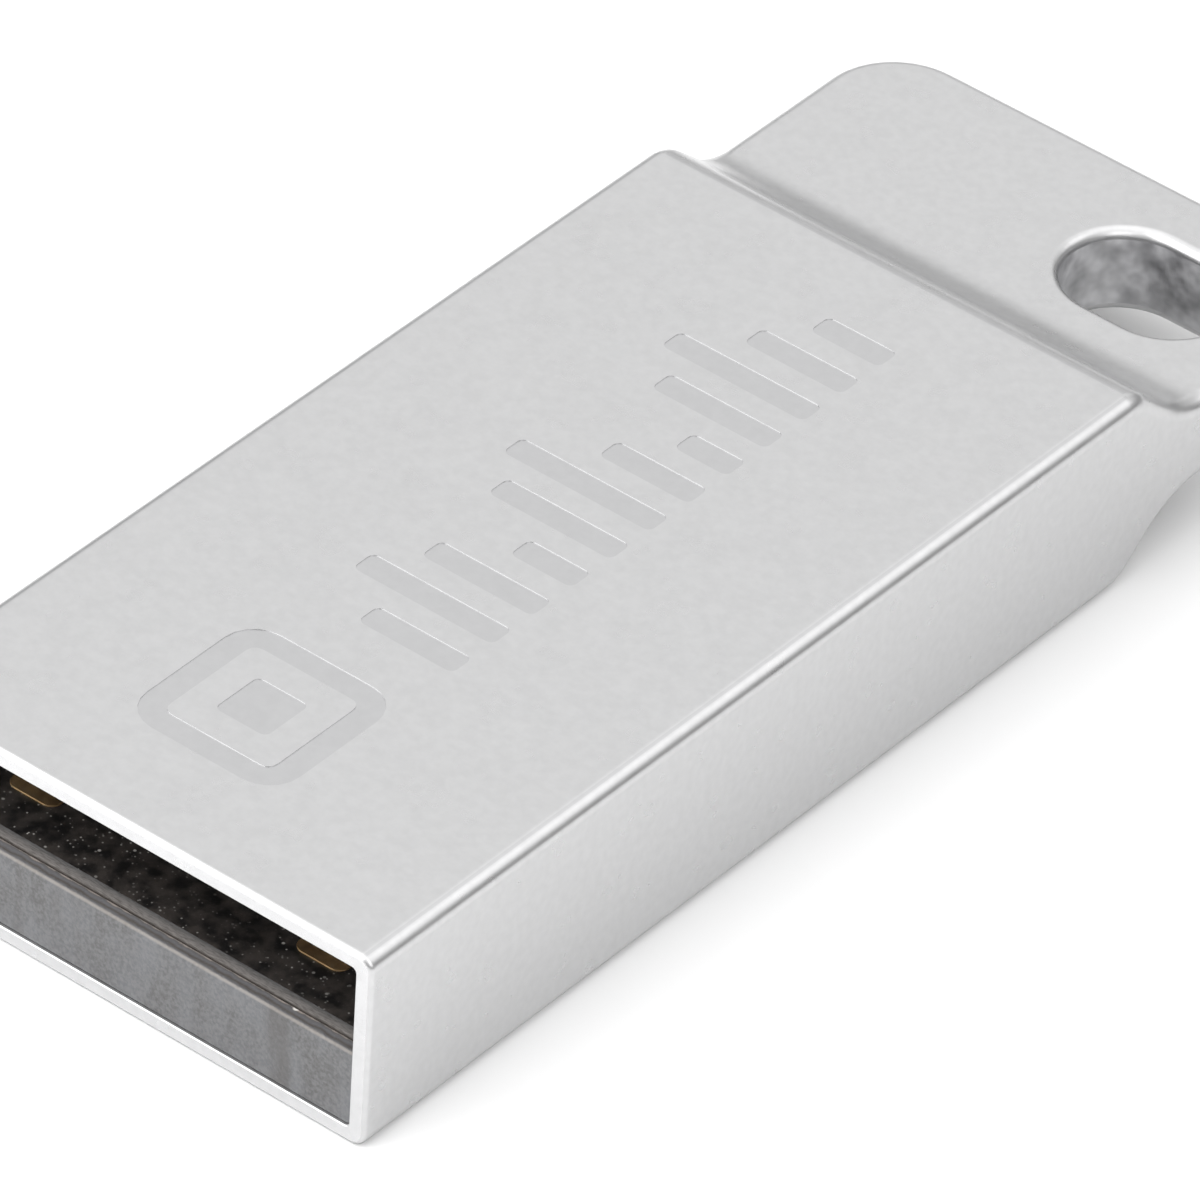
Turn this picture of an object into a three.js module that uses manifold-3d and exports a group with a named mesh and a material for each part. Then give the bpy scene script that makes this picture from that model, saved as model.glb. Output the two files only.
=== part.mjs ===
// USB flash drive. A one-piece cast metal case is also the plug's shell. It holds a memory module,
// with its four contacts on top, on a moulded carrier.
//
// Units are millimetres. +Z is up, the contact side. +Y runs from the plug's mouth to the key-ring
// tab. The origin is the middle of the underside. Sizes along Y are measured from the mouth, and
// the last group moves the whole drive so that the origin lies half way along.

import * as THREE from 'three';
import { mergeVertices } from 'three/addons/utils/BufferGeometryUtils.js';
import Module from 'manifold-3d';

const wasm = await Module();
wasm.setup();

// ---------- Driving dimensions ----------

// Case, outside. Width and height are those of a USB Standard-A plug.
const CASE_WIDTH = 12.0;
const CASE_HEIGHT = 4.5;
const CASE_LENGTH = 30.2;
const EDGE_RADIUS = 0.3;

// The step down from the body to the tab, above and below.
const CREST_TOP_Y = 22.8;
const CREST_BOTTOM_Y = 22.6;
const CREST_RADIUS = 0.35;
const STEP_ANGLE = THREE.MathUtils.degToRad(40);
const STEP_FILLET = 2.0;
const STEP_OVERLAP = 0.5;

// Key-ring tab, with its slot nearer to the +X corner.
const TAB_BOTTOM = 1.25;
const TAB_TOP = 3.25;
const TAB_CORNER_RADIUS = 1.75;
const SLOT_WIDTH = 2.74;
const SLOT_LENGTH = 3.68;
const SLOT_X = 2.91;
const SLOT_TO_REAR = 2.97;

// Cavity, open at the mouth.
const WALL = 0.37;
const CAVITY_CORNER_RADIUS = 0.12;
const CAVITY_DEPTH = 21.6;
const MOUTH_TRIM = 1;

// Moulded carrier under the module, and the block that holds the module down behind the plug.
const CARRIER_GAP = 0.03;
const CARRIER_FRONT = 0.08;
const CARRIER_END = 21.45;
const CARRIER_FLOOR = 0.38;
const LIP_THICKNESS = 0.3;
const LIP_TOP = 2.05;
const LIP_RADIUS = 0.08;
const STOP_THICKNESS = 0.4;
const BLOCK_FRONT = 13.6;
const BLOCK_CHAMFER = 0.6;
const ADHESIVE = 0.1;

// Memory module: a thin laminate above, with the chips moulded in below it.
const MODULE_WIDTH = 11.0;
const MODULE_TOP = 2.2;
const SUBSTRATE_THICKNESS = 0.28;
const BEVEL_HEIGHT = 0.15;
const BEVEL_DEPTH = 0.12;
const MODULE_GAP = 0.04;
const POCKET_GAP = 0.05;

// Contacts: the power pair at the sides reaches further forward than the data pair.
const CONTACT_THICKNESS = 0.03;
const CONTACT_WIDTH = 1.2;
const CONTACT_CORNER_RADIUS = 0.25;
const CONTACT_REAR = 8.9;
const POWER_CONTACT_FRONT = 1.5;
const DATA_CONTACT_FRONT = 2.5;
const POWER_CONTACT_X = 3.5;
const DATA_CONTACT_X = 1.0;

// Chips. The two memory dies are a staircase, so that each keeps a strip bare for its wires.
const FILM = 0.02;
const FLASH = { x: 0, y: 14.7, width: 9.2, length: 8.2, thickness: 0.13 };
const FLASH_STAIR = 0.7;
const CONTROLLER = { x: -1.6, y: 6.4, width: 2.6, length: 2.6, thickness: 0.15 };

// Bond wires.
const WIRE_RADIUS = 0.015;
const WIRE_LOOP = 0.1;
const WIRE_INSET = 0.15;
const WIRE_REACH = 0.45;
const FLASH_WIRES = 6;
const FLASH_WIRE_PITCH = 1.4;
const CONTROLLER_WIRES_A_SIDE = 3;
const CONTROLLER_WIRE_PITCH = 0.7;

// Chip capacitors and resistors, each one's long side along Y.
const CAPACITOR = { width: 0.5, length: 1.0, height: 0.5, band: 0.25, lip: 0.02 };
const CAPACITOR_PLACES = [[2.4, 4.4], [2.4, 6.8], [4.3, 4.4], [4.3, 6.8]];
const RESISTOR = { width: 0.3, length: 0.6, height: 0.23, band: 0.15, lip: 0.01 };
const RESISTOR_PLACES = [[-4.6, 5.2], [-4.6, 6.4], [-4.6, 7.6]];

// Segments for each curve of an outline, and for each rounded edge.
const CURVE_SEGMENTS = 5;
const BEVEL_SEGMENTS = 3;

// Places worked out from the sizes above.
const CAVITY_BOTTOM = WALL;
const CAVITY_TOP = CASE_HEIGHT - WALL;
const CAVITY_HALF_WIDTH = CASE_WIDTH / 2 - WALL;
const CARRIER_BOTTOM = CAVITY_BOTTOM + CARRIER_GAP;
const MODULE_FRONT = CARRIER_FRONT + LIP_THICKNESS + MODULE_GAP;
const MODULE_REAR = CARRIER_END - STOP_THICKNESS - MODULE_GAP;
const MODULE_BOTTOM = CARRIER_BOTTOM + CARRIER_FLOOR + MODULE_GAP;
const SUBSTRATE_BOTTOM = MODULE_TOP - SUBSTRATE_THICKNESS;

// ---------- Materials ----------

function material(color, roughness, metalness) {
  return new THREE.MeshStandardMaterial({ color, roughness, metalness });
}

const satinMetal = () => material(0xcfd0d2, 0.42, 1.0);
const carrierPlastic = () => material(0x5c5e63, 0.5, 0.0);
const blockPlastic = () => material(0x1b1b1d, 0.6, 0.0);
const adhesive = () => material(0xe8e4d8, 0.7, 0.0);
const laminate = () => material(0x151413, 0.45, 0.0);
const contactGold = () => material(0xc9973f, 0.3, 1.0);
const mouldCompound = () => material(0x202022, 0.7, 0.0);
const silicon = () => material(0x5d6470, 0.2, 0.6);
const attachFilm = () => material(0x8f8d7c, 0.6, 0.0);
const capacitorBody = () => material(0x9b7a55, 0.55, 0.0);
const resistorBody = () => material(0x262729, 0.5, 0.0);
const wireGold = () => material(0xe0b45a, 0.25, 1.0);

// ---------- Helpers ----------

// A closed three.js geometry as a solid, for cutting and joining.
function solid(geometry) {
  const bare = geometry.clone();
  bare.deleteAttribute('normal');
  bare.deleteAttribute('uv');
  const merged = mergeVertices(bare);
  return new wasm.Manifold(new wasm.Mesh({
    numProp: 3,
    vertProperties: new Float32Array(merged.attributes.position.array),
    triVerts: new Uint32Array(merged.index.array),
  }));
}

function geometryOf(body) {
  const mesh = body.getMesh();
  const geometry = new THREE.BufferGeometry();
  geometry.setAttribute('position', new THREE.BufferAttribute(mesh.vertProperties, 3));
  geometry.setIndex(new THREE.BufferAttribute(mesh.triVerts, 1));
  geometry.computeVertexNormals();
  return geometry;
}

// A shape extruded with its edges rounded inwards, so that it keeps its stated size.
function roundedExtrusion(shape, depth, radius) {
  const geometry = new THREE.ExtrudeGeometry(shape, {
    depth: depth - 2 * radius,
    curveSegments: CURVE_SEGMENTS,
    bevelThickness: radius,
    bevelSize: radius,
    bevelOffset: -radius,
    bevelSegments: BEVEL_SEGMENTS,
  });
  return geometry.translate(0, 0, radius);
}

function plainExtrusion(shape, depth) {
  return new THREE.ExtrudeGeometry(shape, {
    depth,
    curveSegments: CURVE_SEGMENTS,
    bevelEnabled: false,
  });
}

// Turns an extrusion of a side view (y, z) so that it runs along X, centred on the middle plane.
function acrossWidth(geometry, width) {
  const axes = new THREE.Matrix4().makeBasis(
    new THREE.Vector3(0, 1, 0),
    new THREE.Vector3(0, 0, 1),
    new THREE.Vector3(1, 0, 0),
  );
  return geometry.applyMatrix4(axes).translate(-width / 2, 0, 0);
}

function boxBetween(low, high) {
  const size = high.map((value, i) => value - low[i]);
  const centre = high.map((value, i) => (value + low[i]) / 2);
  return new THREE.BoxGeometry(...size).translate(...centre);
}

function roundedRectangle(left, bottom, right, top, radius) {
  const shape = new THREE.Shape();
  shape.absarc(right - radius, bottom + radius, radius, -Math.PI / 2, 0);
  shape.absarc(right - radius, top - radius, radius, 0, Math.PI / 2);
  shape.absarc(left + radius, top - radius, radius, Math.PI / 2, Math.PI);
  shape.absarc(left + radius, bottom + radius, radius, Math.PI, 1.5 * Math.PI);
  return shape;
}

// ---------- Case ----------

// How far the step reaches along Y for its change of height.
function stepLength(height) {
  const curved = CREST_RADIUS + STEP_FILLET;
  const slope = (height - curved * (1 - Math.cos(STEP_ANGLE))) / Math.sin(STEP_ANGLE);
  return curved * Math.sin(STEP_ANGLE) + slope * Math.cos(STEP_ANGLE);
}

// Side view of the body: flat, a crisp crest, a slope, and a wide fillet that runs into the tab. It
// starts in front of the mouth, and is trimmed there later, so that the rim is flat and crisp. Its
// last stretch lies inside the tab.
function bodyOutline() {
  const quarter = Math.PI / 2;
  const bottomEnd = CREST_BOTTOM_Y + stepLength(TAB_BOTTOM);
  const topEnd = CREST_TOP_Y + stepLength(CASE_HEIGHT - TAB_TOP);
  const shape = new THREE.Shape();
  shape.moveTo(-MOUTH_TRIM, 0);
  shape.lineTo(CREST_BOTTOM_Y - CREST_RADIUS, 0);
  shape.absarc(CREST_BOTTOM_Y, CREST_RADIUS, CREST_RADIUS, -quarter, STEP_ANGLE - quarter);
  shape.absarc(bottomEnd, TAB_BOTTOM - STEP_FILLET, STEP_FILLET, quarter + STEP_ANGLE, quarter, true);
  shape.lineTo(topEnd + STEP_OVERLAP, TAB_BOTTOM);
  shape.lineTo(topEnd + STEP_OVERLAP, TAB_TOP);
  shape.absarc(topEnd, TAB_TOP + STEP_FILLET, STEP_FILLET, -quarter, -quarter - STEP_ANGLE, true);
  shape.absarc(CREST_TOP_Y, CASE_HEIGHT - CREST_RADIUS, CREST_RADIUS, quarter - STEP_ANGLE, quarter);
  shape.lineTo(-MOUTH_TRIM, CASE_HEIGHT);
  return shape;
}

// Plan of the tab: it starts inside the body, and its rear corners are round.
function tabOutline() {
  const side = CASE_WIDTH / 2;
  const corner = side - TAB_CORNER_RADIUS;
  const rear = CASE_LENGTH - TAB_CORNER_RADIUS;
  const shape = new THREE.Shape();
  shape.moveTo(-side, CREST_TOP_Y);
  shape.lineTo(side, CREST_TOP_Y);
  shape.absarc(corner, rear, TAB_CORNER_RADIUS, 0, Math.PI / 2);
  shape.absarc(-corner, rear, TAB_CORNER_RADIUS, Math.PI / 2, Math.PI);
  shape.holes.push(slotOutline());
  return shape;
}

function slotOutline() {
  const radius = SLOT_WIDTH / 2;
  const reach = (SLOT_LENGTH - SLOT_WIDTH) / 2;
  const y = CASE_LENGTH - SLOT_TO_REAR;
  const path = new THREE.Path();
  path.absarc(SLOT_X + reach, y, radius, -Math.PI / 2, Math.PI / 2);
  path.absarc(SLOT_X - reach, y, radius, Math.PI / 2, 1.5 * Math.PI);
  return path;
}

// A prism along Y with the cavity's section, smaller all round by a gap.
function cavityPrism(front, rear, gap) {
  const side = CAVITY_HALF_WIDTH - gap;
  const radius = CAVITY_CORNER_RADIUS - gap;
  const section = roundedRectangle(-side, CAVITY_BOTTOM + gap, side, CAVITY_TOP - gap, radius);
  return plainExtrusion(section, rear - front).rotateX(Math.PI / 2).translate(0, rear, 0);
}

function caseGeometry() {
  const body = acrossWidth(roundedExtrusion(bodyOutline(), CASE_WIDTH, EDGE_RADIUS), CASE_WIDTH);
  const tab = roundedExtrusion(tabOutline(), TAB_TOP - TAB_BOTTOM, EDGE_RADIUS);
  tab.translate(0, 0, TAB_BOTTOM);
  const cavity = cavityPrism(-MOUTH_TRIM, CAVITY_DEPTH, 0);
  const trim = boxBetween([-CASE_WIDTH, -2 * MOUTH_TRIM, -1], [CASE_WIDTH, 0, CASE_HEIGHT + 1]);
  return geometryOf(solid(body).add(solid(tab)).subtract(solid(trim)).subtract(solid(cavity)));
}

// ---------- Carrier, adhesive and retaining block ----------

const ADHESIVE_PADS = {
  adhesive_pad_front: { y: 4.5, width: 7.0, length: 5.0 },
  adhesive_pad_rear: { y: 16.0, width: 7.0, length: 6.0 },
};
const TOP_PAD = { y: 17.8, width: 8.0, length: 5.0 };

function padBox(pad, bottom, top, margin = 0) {
  const halfWidth = pad.width / 2 + margin;
  const halfLength = pad.length / 2 + margin;
  return boxBetween([-halfWidth, pad.y - halfLength, bottom], [halfWidth, pad.y + halfLength, top]);
}

// Floor, front lip and rear stop in one moulding, with two shallow pockets for adhesive below.
function carrierGeometry() {
  const floorTop = CARRIER_BOTTOM + CARRIER_FLOOR;
  const stopFront = CARRIER_END - STOP_THICKNESS;
  const stopTop = MODULE_TOP - MODULE_GAP;
  const lipBack = CARRIER_FRONT + LIP_THICKNESS;
  const shape = new THREE.Shape();
  shape.moveTo(CARRIER_FRONT, CARRIER_BOTTOM);
  shape.lineTo(CARRIER_END, CARRIER_BOTTOM);
  shape.lineTo(CARRIER_END, stopTop);
  shape.lineTo(stopFront, stopTop);
  shape.lineTo(stopFront, floorTop);
  shape.lineTo(lipBack, floorTop);
  shape.lineTo(lipBack, LIP_TOP);
  shape.absarc(CARRIER_FRONT + LIP_RADIUS, LIP_TOP - LIP_RADIUS, LIP_RADIUS, Math.PI / 2, Math.PI);
  const bar = acrossWidth(plainExtrusion(shape, CASE_WIDTH), CASE_WIDTH);
  const fit = cavityPrism(0, CAVITY_DEPTH, CARRIER_GAP);
  let body = solid(bar).intersect(solid(fit));
  for (const pad of Object.values(ADHESIVE_PADS)) {
    const pocket = padBox(pad, 0, CAVITY_BOTTOM + ADHESIVE, POCKET_GAP);
    body = body.subtract(solid(pocket));
  }
  return geometryOf(body);
}

// Fills the space above the module behind the plug, so that the module cannot lift.
function blockGeometry() {
  const bottom = MODULE_TOP + MODULE_GAP;
  const top = CAVITY_TOP - ADHESIVE;
  const shape = new THREE.Shape();
  shape.moveTo(BLOCK_FRONT, bottom);
  shape.lineTo(CARRIER_END, bottom);
  shape.lineTo(CARRIER_END, top);
  shape.lineTo(BLOCK_FRONT + BLOCK_CHAMFER, top);
  shape.lineTo(BLOCK_FRONT, top - BLOCK_CHAMFER);
  return acrossWidth(plainExtrusion(shape, MODULE_WIDTH), MODULE_WIDTH);
}

// ---------- Memory module ----------

// Laminate with its front upper edge bevelled, so that the drive slides into a socket.
function substrateGeometry() {
  const shape = new THREE.Shape();
  shape.moveTo(MODULE_FRONT, SUBSTRATE_BOTTOM);
  shape.lineTo(MODULE_REAR, SUBSTRATE_BOTTOM);
  shape.lineTo(MODULE_REAR, MODULE_TOP);
  shape.lineTo(MODULE_FRONT + BEVEL_DEPTH, MODULE_TOP);
  shape.lineTo(MODULE_FRONT, MODULE_TOP - BEVEL_HEIGHT);
  return acrossWidth(plainExtrusion(shape, MODULE_WIDTH), MODULE_WIDTH);
}

function contactGeometry(x, front) {
  const half = CONTACT_WIDTH / 2;
  const shape = roundedRectangle(x - half, front, x + half, CONTACT_REAR, CONTACT_CORNER_RADIUS);
  return plainExtrusion(shape, CONTACT_THICKNESS).translate(0, 0, MODULE_TOP);
}

// A chip's die, lying under the laminate at the given depth.
function chipBox(chip, bottom, thickness) {
  const halfWidth = chip.width / 2;
  const halfLength = chip.length / 2;
  return boxBetween(
    [chip.x - halfWidth, chip.y - halfLength, bottom],
    [chip.x + halfWidth, chip.y + halfLength, bottom + thickness],
  );
}

// A chip component along Y: its metal end bands stand a little proud of its body.
function bandedChip(part) {
  const half = part.length / 2;
  const body = half - part.band;
  const low = part.lip;
  const high = part.height - part.lip;
  const shape = new THREE.Shape();
  shape.moveTo(-half, 0);
  shape.lineTo(-body, 0);
  shape.lineTo(-body, low);
  shape.lineTo(body, low);
  shape.lineTo(body, 0);
  shape.lineTo(half, 0);
  shape.lineTo(half, part.height);
  shape.lineTo(body, part.height);
  shape.lineTo(body, high);
  shape.lineTo(-body, high);
  shape.lineTo(-body, part.height);
  shape.lineTo(-half, part.height);
  return acrossWidth(plainExtrusion(shape, part.width), part.width);
}

// The lower faces of the stacked dies.
const FLASH_A_FACE = SUBSTRATE_BOTTOM - FILM - FLASH.thickness;
const FLASH_B_FACE = FLASH_A_FACE - FILM - FLASH.thickness;
const CONTROLLER_FACE = SUBSTRATE_BOTTOM - FILM - CONTROLLER.thickness;
const FLASH_B = { ...FLASH, y: FLASH.y + FLASH_STAIR };
const FLASH_OVERLAP = {
  ...FLASH,
  y: FLASH.y + FLASH_STAIR / 2,
  length: FLASH.length - FLASH_STAIR,
};

// Moulded block under the laminate. It has an open pocket round each group of chips and wires.
function mouldGeometry() {
  const half = MODULE_WIDTH / 2;
  let body = solid(boxBetween([-half, MODULE_FRONT, MODULE_BOTTOM], [half, MODULE_REAR, SUBSTRATE_BOTTOM]));
  const above = SUBSTRATE_BOTTOM + 1;
  const wireSpace = WIRE_REACH + POCKET_GAP;
  const dieStack = {
    ...FLASH,
    y: FLASH.y + (FLASH_STAIR - wireSpace) / 2,
    width: FLASH.width + 2 * POCKET_GAP,
    length: FLASH.length + FLASH_STAIR + wireSpace + 2 * POCKET_GAP,
  };
  const controller = {
    ...CONTROLLER,
    width: CONTROLLER.width + 2 * wireSpace,
    length: CONTROLLER.length + 2 * wireSpace,
  };
  const pockets = [
    [dieStack, FLASH_B_FACE - WIRE_LOOP - POCKET_GAP],
    [controller, CONTROLLER_FACE - WIRE_LOOP - POCKET_GAP],
  ];
  for (const [part, places] of [[CAPACITOR, CAPACITOR_PLACES], [RESISTOR, RESISTOR_PLACES]]) {
    for (const [x, y] of places) {
      const width = part.width + 2 * POCKET_GAP;
      const length = part.length + 2 * POCKET_GAP;
      pockets.push([{ x, y, width, length }, SUBSTRATE_BOTTOM - part.height - POCKET_GAP]);
    }
  }
  for (const [plan, bottom] of pockets) {
    body = body.subtract(solid(chipBox(plan, bottom, above - bottom)));
  }
  return geometryOf(body);
}

// A wire leaves a die's lower face straight down, loops over and rises to where it is bonded.
function wireGeometry(start, end) {
  const loop = new THREE.Vector3(0, 0, -2 * WIRE_LOOP);
  const middle = start.clone().lerp(end, 0.6);
  middle.z = start.z - WIRE_LOOP / 2;
  const curve = new THREE.CubicBezierCurve3(start, start.clone().add(loop), middle, end);
  const section = new THREE.Shape();
  section.absarc(0, 0, WIRE_RADIUS, 0, 2 * Math.PI);
  return new THREE.ExtrudeGeometry(section, {
    extrudePath: curve,
    steps: 6,
    curveSegments: 3,
    bevelEnabled: false,
  });
}

// ---------- Assembly ----------

const drive = new THREE.Group();

function place(group, name, geometry, finish) {
  const mesh = new THREE.Mesh(geometry, finish);
  mesh.name = name;
  group.add(mesh);
  return mesh;
}

function addCarrier() {
  const carrier = new THREE.Group();
  place(carrier, 'module_carrier', carrierGeometry(), carrierPlastic());
  place(carrier, 'retaining_block', blockGeometry(), blockPlastic());
  for (const [name, pad] of Object.entries(ADHESIVE_PADS)) {
    place(carrier, name, padBox(pad, CAVITY_BOTTOM, CAVITY_BOTTOM + ADHESIVE), adhesive());
  }
  place(carrier, 'adhesive_pad_top', padBox(TOP_PAD, CAVITY_TOP - ADHESIVE, CAVITY_TOP), adhesive());
  drive.add(carrier);
}

function addContacts(module) {
  const contacts = {
    contact_ground: [-POWER_CONTACT_X, POWER_CONTACT_FRONT],
    contact_data_plus: [-DATA_CONTACT_X, DATA_CONTACT_FRONT],
    contact_data_minus: [DATA_CONTACT_X, DATA_CONTACT_FRONT],
    contact_power: [POWER_CONTACT_X, POWER_CONTACT_FRONT],
  };
  for (const [name, [x, front]] of Object.entries(contacts)) {
    place(module, name, contactGeometry(x, front), contactGold());
  }
}

function addChips(module) {
  place(module, 'flash_die_a', chipBox(FLASH, FLASH_A_FACE, FLASH.thickness), silicon());
  place(module, 'flash_die_b', chipBox(FLASH_B, FLASH_B_FACE, FLASH.thickness), silicon());
  const controllerDie = chipBox(CONTROLLER, CONTROLLER_FACE, CONTROLLER.thickness);
  place(module, 'controller_die', controllerDie, silicon());
  const films = {
    attach_film_flash_a: [FLASH, SUBSTRATE_BOTTOM - FILM],
    attach_film_flash_b: [FLASH_OVERLAP, FLASH_A_FACE - FILM],
    attach_film_controller: [CONTROLLER, SUBSTRATE_BOTTOM - FILM],
  };
  for (const [name, [plan, bottom]] of Object.entries(films)) {
    place(module, name, chipBox(plan, bottom, FILM), attachFilm());
  }
}

function addPassives(module) {
  CAPACITOR_PLACES.forEach(([x, y], i) => {
    const mesh = place(module, `capacitor_${i + 1}`, bandedChip(CAPACITOR), capacitorBody());
    mesh.position.set(x, y, SUBSTRATE_BOTTOM - CAPACITOR.height);
  });
  RESISTOR_PLACES.forEach(([x, y], i) => {
    const mesh = place(module, `resistor_${i + 1}`, bandedChip(RESISTOR), resistorBody());
    mesh.position.set(x, y, SUBSTRATE_BOTTOM - RESISTOR.height);
  });
}

// Both memory dies are bonded along their front edges: b down to a, and a to the laminate.
function addFlashWires(module) {
  const frontA = FLASH.y - FLASH.length / 2;
  const frontB = frontA + FLASH_STAIR;
  for (let i = 0; i < FLASH_WIRES; i += 1) {
    const x = FLASH.x + (i - (FLASH_WIRES - 1) / 2) * FLASH_WIRE_PITCH;
    const startA = new THREE.Vector3(x, frontA + WIRE_INSET, FLASH_A_FACE);
    const endA = new THREE.Vector3(x, frontA - WIRE_REACH, SUBSTRATE_BOTTOM - WIRE_RADIUS);
    place(module, `bond_wire_flash_a_${i + 1}`, wireGeometry(startA, endA), wireGold());
    const startB = new THREE.Vector3(x, frontB + WIRE_INSET, FLASH_B_FACE);
    const endB = new THREE.Vector3(x, frontA + 2 * WIRE_INSET, FLASH_A_FACE - WIRE_RADIUS);
    place(module, `bond_wire_flash_b_${i + 1}`, wireGeometry(startB, endB), wireGold());
  }
}

// The controller is bonded to the laminate along all four of its sides.
function addControllerWires(module) {
  const half = CONTROLLER.width / 2;
  const centre = new THREE.Vector3(CONTROLLER.x, CONTROLLER.y, 0);
  const up = new THREE.Vector3(0, 0, 1);
  let count = 0;
  for (let side = 0; side < 4; side += 1) {
    for (let i = 0; i < CONTROLLER_WIRES_A_SIDE; i += 1) {
      const along = (i - (CONTROLLER_WIRES_A_SIDE - 1) / 2) * CONTROLLER_WIRE_PITCH;
      const start = new THREE.Vector3(half - WIRE_INSET, along, CONTROLLER_FACE);
      const end = new THREE.Vector3(half + WIRE_REACH, along, SUBSTRATE_BOTTOM - WIRE_RADIUS);
      for (const point of [start, end]) {
        point.applyAxisAngle(up, side * Math.PI / 2).add(centre);
      }
      count += 1;
      place(module, `bond_wire_controller_${count}`, wireGeometry(start, end), wireGold());
    }
  }
}

function addModule() {
  const module = new THREE.Group();
  place(module, 'module_substrate', substrateGeometry(), laminate());
  place(module, 'module_moulding', mouldGeometry(), mouldCompound());
  addContacts(module);
  addChips(module);
  addPassives(module);
  addFlashWires(module);
  addControllerWires(module);
  drive.add(module);
}

place(drive, 'case', caseGeometry(), satinMetal());
addCarrier();
addModule();
drive.position.y = -CASE_LENGTH / 2;

export default drive;
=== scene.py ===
from math import cos, pi, radians, sin, tan

import bmesh
import bpy
from mathutils import Matrix, Vector


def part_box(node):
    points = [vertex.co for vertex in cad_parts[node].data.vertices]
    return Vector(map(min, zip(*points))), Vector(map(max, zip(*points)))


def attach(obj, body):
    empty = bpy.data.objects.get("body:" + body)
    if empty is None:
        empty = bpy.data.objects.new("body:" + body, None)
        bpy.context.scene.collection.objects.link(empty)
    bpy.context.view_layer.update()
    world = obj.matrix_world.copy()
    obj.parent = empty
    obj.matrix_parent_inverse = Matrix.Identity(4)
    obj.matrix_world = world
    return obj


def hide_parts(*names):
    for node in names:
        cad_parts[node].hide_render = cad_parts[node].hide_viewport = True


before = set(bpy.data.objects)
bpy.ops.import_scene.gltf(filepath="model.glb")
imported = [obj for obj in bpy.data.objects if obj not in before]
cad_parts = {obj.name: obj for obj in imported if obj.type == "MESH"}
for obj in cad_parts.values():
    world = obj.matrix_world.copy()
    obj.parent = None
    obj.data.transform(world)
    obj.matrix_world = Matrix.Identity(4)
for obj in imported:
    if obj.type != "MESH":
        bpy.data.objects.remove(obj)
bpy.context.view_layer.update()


# ---- Case ----
# One casting in zinc alloy, bead-blasted and satin plated. It is the plug's shell, the body and
# the key-ring tab at once, open at the mouth, with a round-ended slot near one rear corner.

MM = 0.001
case_low, case_high = (Vector(corner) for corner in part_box("case"))
mouth_y = case_low.y
case_top = case_high.z
case_side = case_high.x
wall = 0.37 * MM
cavity_depth = 21.6 * MM
step_angle = radians(40)
crest_radius = 0.9 * MM
fillet_radius = 2.0 * MM
corner_below_y = mouth_y + 22.73 * MM
corner_above_y = mouth_y + 22.93 * MM
tab_bottom = 1.25 * MM
tab_top = 3.25 * MM
tab_corner = 1.75 * MM
long_edge_radius = 0.34 * MM
rim_edge_radius = 0.12 * MM
cavity_corner_radius = 0.12 * MM
cavity_chamfer = 0.02 * MM
slot_centre = Vector((2.91 * MM, case_high.y - 2.97 * MM, 0))
slot_length = 3.68 * MM
slot_width = 2.74 * MM
slot_rim_radius = 0.22 * MM
NEAR = 0.005 * MM  # two measures closer than this are the same


def deselect_all():
    bpy.ops.object.select_all(action="DESELECT")


def add_block(name, low, high):
    """A box between two corners, with its place and size in its mesh."""
    deselect_all()
    low, high = Vector(low), Vector(high)
    bpy.ops.mesh.primitive_cube_add(size=1, location=(low + high) / 2, scale=high - low)
    bpy.ops.object.transform_apply(location=True, rotation=True, scale=True)
    piece = bpy.context.object
    piece.name = name
    piece.data.name = name
    return piece


def edit(piece):
    bpy.ops.object.mode_set(mode="OBJECT")
    deselect_all()
    bpy.context.view_layer.objects.active = piece
    piece.select_set(True)
    bpy.ops.object.mode_set(mode="EDIT")
    bpy.ops.mesh.select_all(action="DESELECT")


def stop_editing():
    bpy.ops.object.mode_set(mode="OBJECT")


def pick(kind, test):
    """In edit mode, selects only the faces, edges or verts that pass a test."""
    bpy.ops.mesh.select_mode(type={"faces": "FACE", "edges": "EDGE", "verts": "VERT"}[kind])
    bpy.ops.mesh.select_all(action="DESELECT")
    mesh = bpy.context.object.data
    working = bmesh.from_edit_mesh(mesh)
    chosen = [part for part in getattr(working, kind) if test(part)]
    for part in chosen:
        part.select_set(True)
    bmesh.update_edit_mesh(mesh)


def middle(edge):
    return (edge.verts[0].co + edge.verts[1].co) / 2


def runs_along(edge, axis):
    line = (edge.verts[1].co - edge.verts[0].co).normalized()
    return abs(line[axis]) > 0.999


def is_near(value, target):
    return abs(value - target) < NEAR


def cut_across(y):
    """Cuts the piece in edit mode along a plane across Y."""
    bpy.ops.mesh.select_all(action="SELECT")
    bpy.ops.mesh.bisect(plane_co=(0, y, 0), plane_no=(0, 1, 0))


def round_edges(radius, segments):
    bpy.ops.mesh.bevel(offset=radius, segments=segments, affect="EDGES", clamp_overlap=False)


def apply_boolean(piece, cutter):
    """Takes the cutter's shape out of the piece, and removes the cutter."""
    deselect_all()
    bpy.context.view_layer.objects.active = piece
    piece.select_set(True)
    cut = piece.modifiers.new("cut", "BOOLEAN")
    cut.operation = "DIFFERENCE"
    cut.solver = "MANIFOLD"
    cut.object = cutter
    bpy.ops.object.modifier_apply(modifier=cut.name)
    bpy.data.objects.remove(cutter)


def smooth(piece):
    """Smooth shading that keeps large faces flat right up to their rounded edges."""
    sharp_angle = radians(35)
    deselect_all()
    bpy.context.view_layer.objects.active = piece
    piece.select_set(True)
    bpy.ops.object.shade_smooth_by_angle(angle=sharp_angle)
    weigh = piece.modifiers.new("weigh", "WEIGHTED_NORMAL")
    weigh.keep_sharp = True
    weigh.weight = 100
    bpy.ops.object.modifier_apply(modifier=weigh.name)


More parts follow.
